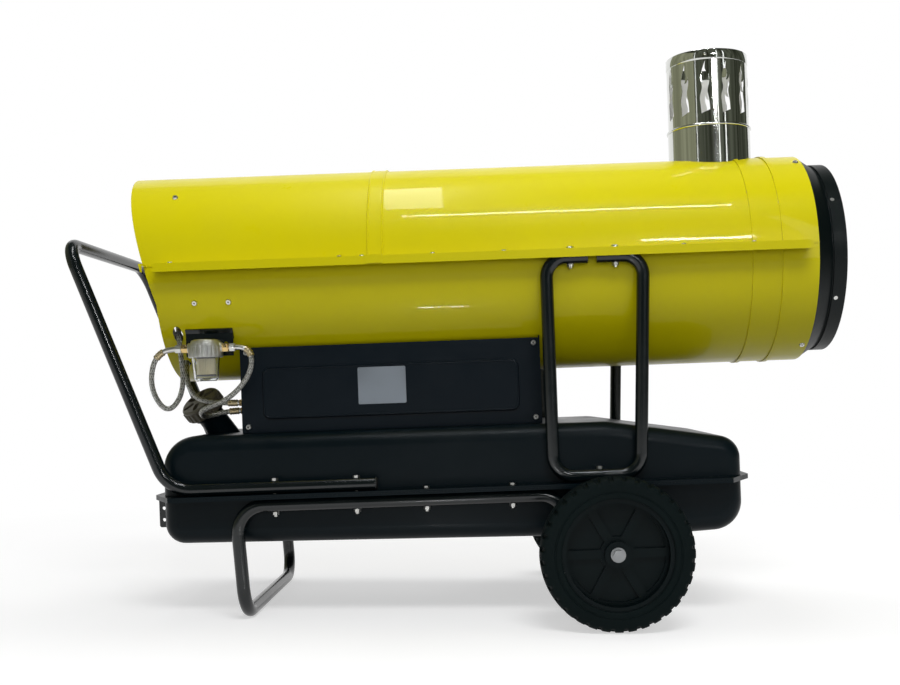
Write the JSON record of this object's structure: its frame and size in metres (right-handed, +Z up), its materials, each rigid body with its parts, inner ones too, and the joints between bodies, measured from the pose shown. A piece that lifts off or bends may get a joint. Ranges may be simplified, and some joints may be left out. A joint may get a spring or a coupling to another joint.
{
  "type": "oil-fired space heater",
  "caption": "Indirect oil-fired space heater: round hot-air barrel with flue over a flat fuel tank, on a two-wheeled tube cart with a pushing handle.",
  "frame": {"origin": "on the floor, under the middle of the bounding box", "axes": "+X towards the hot-air outlet, +Y away from the filter side, +Z up; the barrel and tank lean back 2.1 degrees as they stand"},
  "size_m": [1.3392, 0.62, 1.0035],
  "materials": {
    "casing_yellow": "gloss",
    "frame_black": "semi-gloss",
    "tank_black": "semi-gloss",
    "box_black": "semi-gloss",
    "outlet_black": "satin, heat resistant",
    "flue_steel": "mirror-polished stainless steel",
    "heat_steel": "heat-tinted steel",
    "zinc": "zinc plated",
    "cast_alloy": "die-cast",
    "motor_paint": "satin",
    "fan_alloy": "pressed",
    "tyre_rubber": "matt",
    "hub_plastic": "moulded",
    "black_plastic": "moulded",
    "red_plastic": "gloss",
    "lamp_lens": "clear tinted",
    "clear_bowl": "clear",
    "filter_paper": "pleated",
    "brass_fittings": "turned",
    "braid_steel": "woven braid",
    "board_green": "coated"
  },
  "bodies": {
    "heater": {"upper_cover_front": "casing_yellow", "upper_cover_rear": "casing_yellow", "lower_shell": "casing_yellow", "intake_guard": "frame_black", "fan_motor": "motor_paint", "motor_bracket": "zinc", "fuel_pump": "cast_alloy", "burner_head": "heat_steel", "burner_nozzle": "brass_fittings", "combustion_chamber": "heat_steel", "heat_exchanger": "heat_steel", "flue_stub": "flue_steel", "chimney_cowl": "flue_steel", "outlet_cone": "outlet_black", "outlet_collar": "outlet_black", "shell_screws": "zinc", "seam_screws": "zinc", "box_frame": "box_black", "box_cover_near": "box_black", "box_cover_far": "box_black", "cover_screws": "zinc", "box_electrics": "board_green", "panel_bezels": "black_plastic", "pilot_lamp": "lamp_lens", "thermostat_socket": "black_plastic", "cable_gland": "black_plastic", "tank_upper": "tank_black", "tank_lower": "tank_black", "filler_neck": "tank_black", "drain_plug": "zinc", "end_bracket": "frame_black", "handle": "frame_black", "handle_plugs": "black_plastic", "side_frame_near": "frame_black", "side_frame_far": "frame_black", "frame_bolts": "zinc", "undercarriage": "frame_black", "cart_bolts": "zinc", "axle": "zinc", "axle_bolts": "zinc", "filter_bracket": "frame_black", "filter_head": "cast_alloy", "filter_bowl": "clear_bowl", "filter_element": "filter_paper", "filter_fittings": "brass_fittings", "hose_unions": "brass_fittings", "hose_filter_to_pump": "braid_steel", "hose_box_to_filter": "braid_steel", "hose_pump_to_box": "braid_steel"},
    "wheel_near": {"wheel_hub_near": "hub_plastic", "tyre_near": "tyre_rubber"},
    "wheel_far": {"wheel_hub_far": "hub_plastic", "tyre_far": "tyre_rubber"},
    "rotor": {"rotor_shaft": "zinc", "fan": "fan_alloy"},
    "rocker": {"switch_rocker": "red_plastic"},
    "button": {"reset_button": "red_plastic"},
    "cap": {"filler_cap": "black_plastic"}
  },
  "joints": [
    {"name": "wheel_near_turn", "type": "hinge", "parent": "heater", "child": "wheel_near", "pos_m": [0.25665, -0.281, 0.125], "axis": [0, 1, 0], "continuous": true},
    {"name": "wheel_far_turn", "type": "hinge", "parent": "heater", "child": "wheel_far", "pos_m": [0.25665, 0.281, 0.125], "axis": [0, 1, 0], "continuous": true},
    {"name": "fan_turn", "type": "hinge", "parent": "heater", "child": "rotor", "pos_m": [-0.33296, 0, 0.59575], "axis": [0.9993, 0, 0.0366], "continuous": true},
    {"name": "switch_tip", "type": "hinge", "parent": "heater", "child": "rocker", "pos_m": [0.04662, 0.1406, 0.3955], "axis": [0.9993, 0, 0.0366], "range_deg": [-20, 0]},
    {"name": "reset_press", "type": "slide", "parent": "heater", "child": "button", "axis": [0, -1, 0], "range_m": [0, 0.003], "stiffness_N_per_m": 600, "springref_m": -0.001},
    {"name": "cap_turn", "type": "hinge", "parent": "heater", "child": "cap", "pos_m": [-0.45809, -0.07, 0.35101], "axis": [-0.452, -0.4829, 0.75], "range_deg": [0, 90]}
  ]
}
